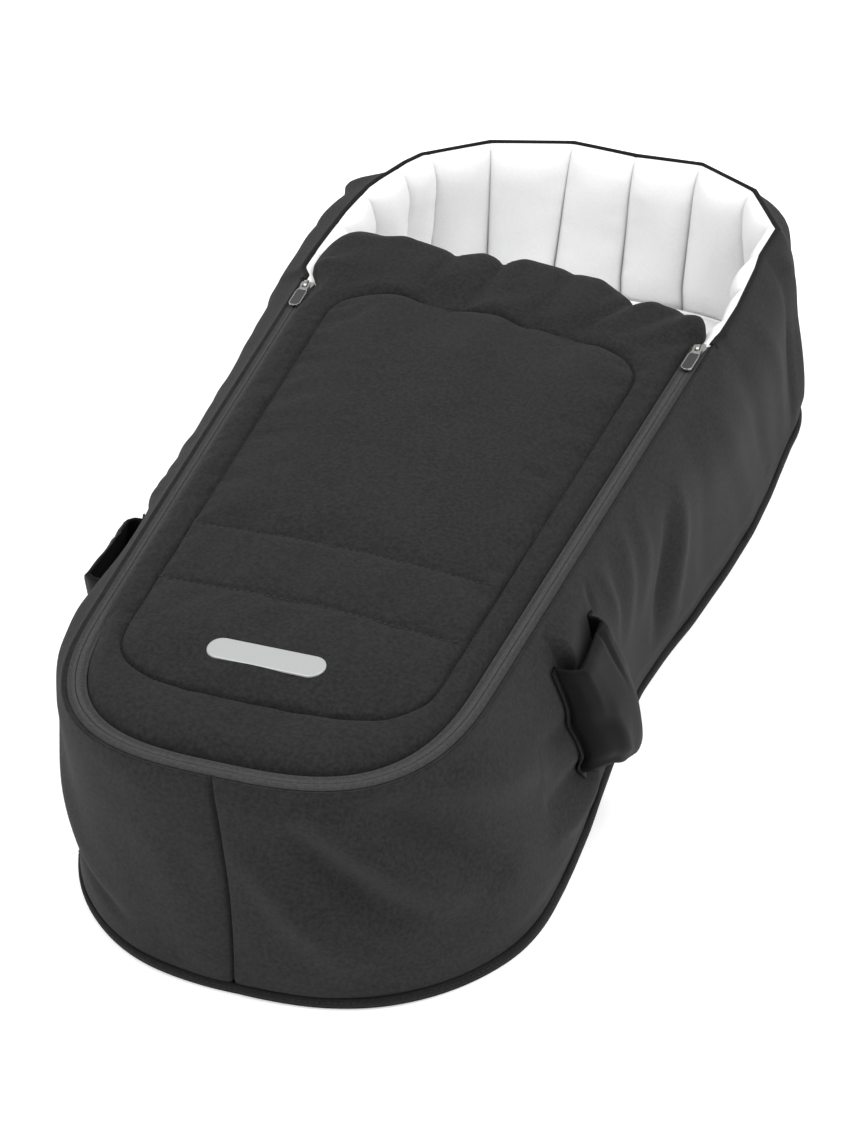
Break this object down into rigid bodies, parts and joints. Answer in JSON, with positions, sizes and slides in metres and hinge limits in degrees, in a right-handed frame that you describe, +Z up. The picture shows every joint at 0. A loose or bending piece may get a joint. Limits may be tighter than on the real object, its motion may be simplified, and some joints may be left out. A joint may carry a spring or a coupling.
{
  "type": "carrycot",
  "caption": "Soft padded carrycot with a stiff base, a quilted head liner, a mattress, a zipped padded apron that lifts open, and a frame sleeve on each side wall.",
  "frame": {"origin": "centre of the footprint, on the floor", "axes": "+Z up, +Y from the foot end to the head end, +X to the right seen from the foot end"},
  "size_m": [0.344, 0.7895, 0.1823],
  "materials": {
    "charcoal_cloth": "matte",
    "dark_cloth": "matte",
    "white_cotton": "matte",
    "nylon": "satin",
    "zip_tape": "matte",
    "zip_coil": "satin",
    "foam": "matte",
    "wadding": "matte",
    "board": "matte",
    "nickel": "polished",
    "badge": "satin"
  },
  "bodies": {
    "cot": {"bottom_panel": "dark_cloth", "base_strip": "dark_cloth", "base_board": "board", "floor_liner": "white_cotton", "shell_right": "charcoal_cloth", "shell_left": "charcoal_cloth", "foot_foam": "foam", "head_foam": "foam", "side_foam_right": "foam", "side_foam_left": "foam", "foot_liner": "white_cotton", "side_liner_right": "white_cotton", "side_liner_left": "white_cotton", "head_liner": "white_cotton", "rim_binding": "dark_cloth", "mattress_foam": "foam", "mattress_cover": "white_cotton", "zip_tape_body": "zip_tape", "zip_coil_body": "zip_coil", "zip_stop_right": "nickel", "zip_stop_left": "nickel", "sleeve_pad_right": "nylon", "sleeve_pad_left": "nylon", "sleeve_binding_near_right": "dark_cloth", "sleeve_binding_far_right": "dark_cloth", "sleeve_binding_near_left": "dark_cloth", "sleeve_binding_far_left": "dark_cloth"},
    "apron": {"apron_border": "charcoal_cloth", "apron_panel": "charcoal_cloth", "apron_wadding": "wadding", "apron_lining": "white_cotton", "badge": "badge", "zip_tape_apron": "zip_tape", "zip_coil_apron": "zip_coil"},
    "right_slider": {"slider_right": "nickel"},
    "left_slider": {"slider_left": "nickel"},
    "right_tab": {"pull_tab_right": "nickel"},
    "left_tab": {"pull_tab_left": "nickel"}
  },
  "joints": [
    {"name": "apron_hinge", "type": "hinge", "parent": "cot", "child": "apron", "pos_m": [0, -0.388, 0.1705], "axis": [1, 0, 0], "range_deg": [0, 130]},
    {"name": "right_slide", "type": "slide", "parent": "cot", "child": "right_slider", "axis": [-0.0583, -0.9983, 0], "range_m": [0, 0.35]},
    {"name": "left_slide", "type": "slide", "parent": "cot", "child": "left_slider", "axis": [0.0583, -0.9983, 0], "range_m": [0, 0.35]},
    {"name": "right_tab_hinge", "type": "hinge", "parent": "right_slider", "child": "right_tab", "pos_m": [0.13686, 0.11188, 0.1719], "axis": [-0.9983, 0.0583, 0], "range_deg": [0, 150]},
    {"name": "left_tab_hinge", "type": "hinge", "parent": "left_slider", "child": "left_tab", "pos_m": [-0.13686, 0.11188, 0.1719], "axis": [-0.9983, -0.0583, 0], "range_deg": [0, 150]}
  ]
}
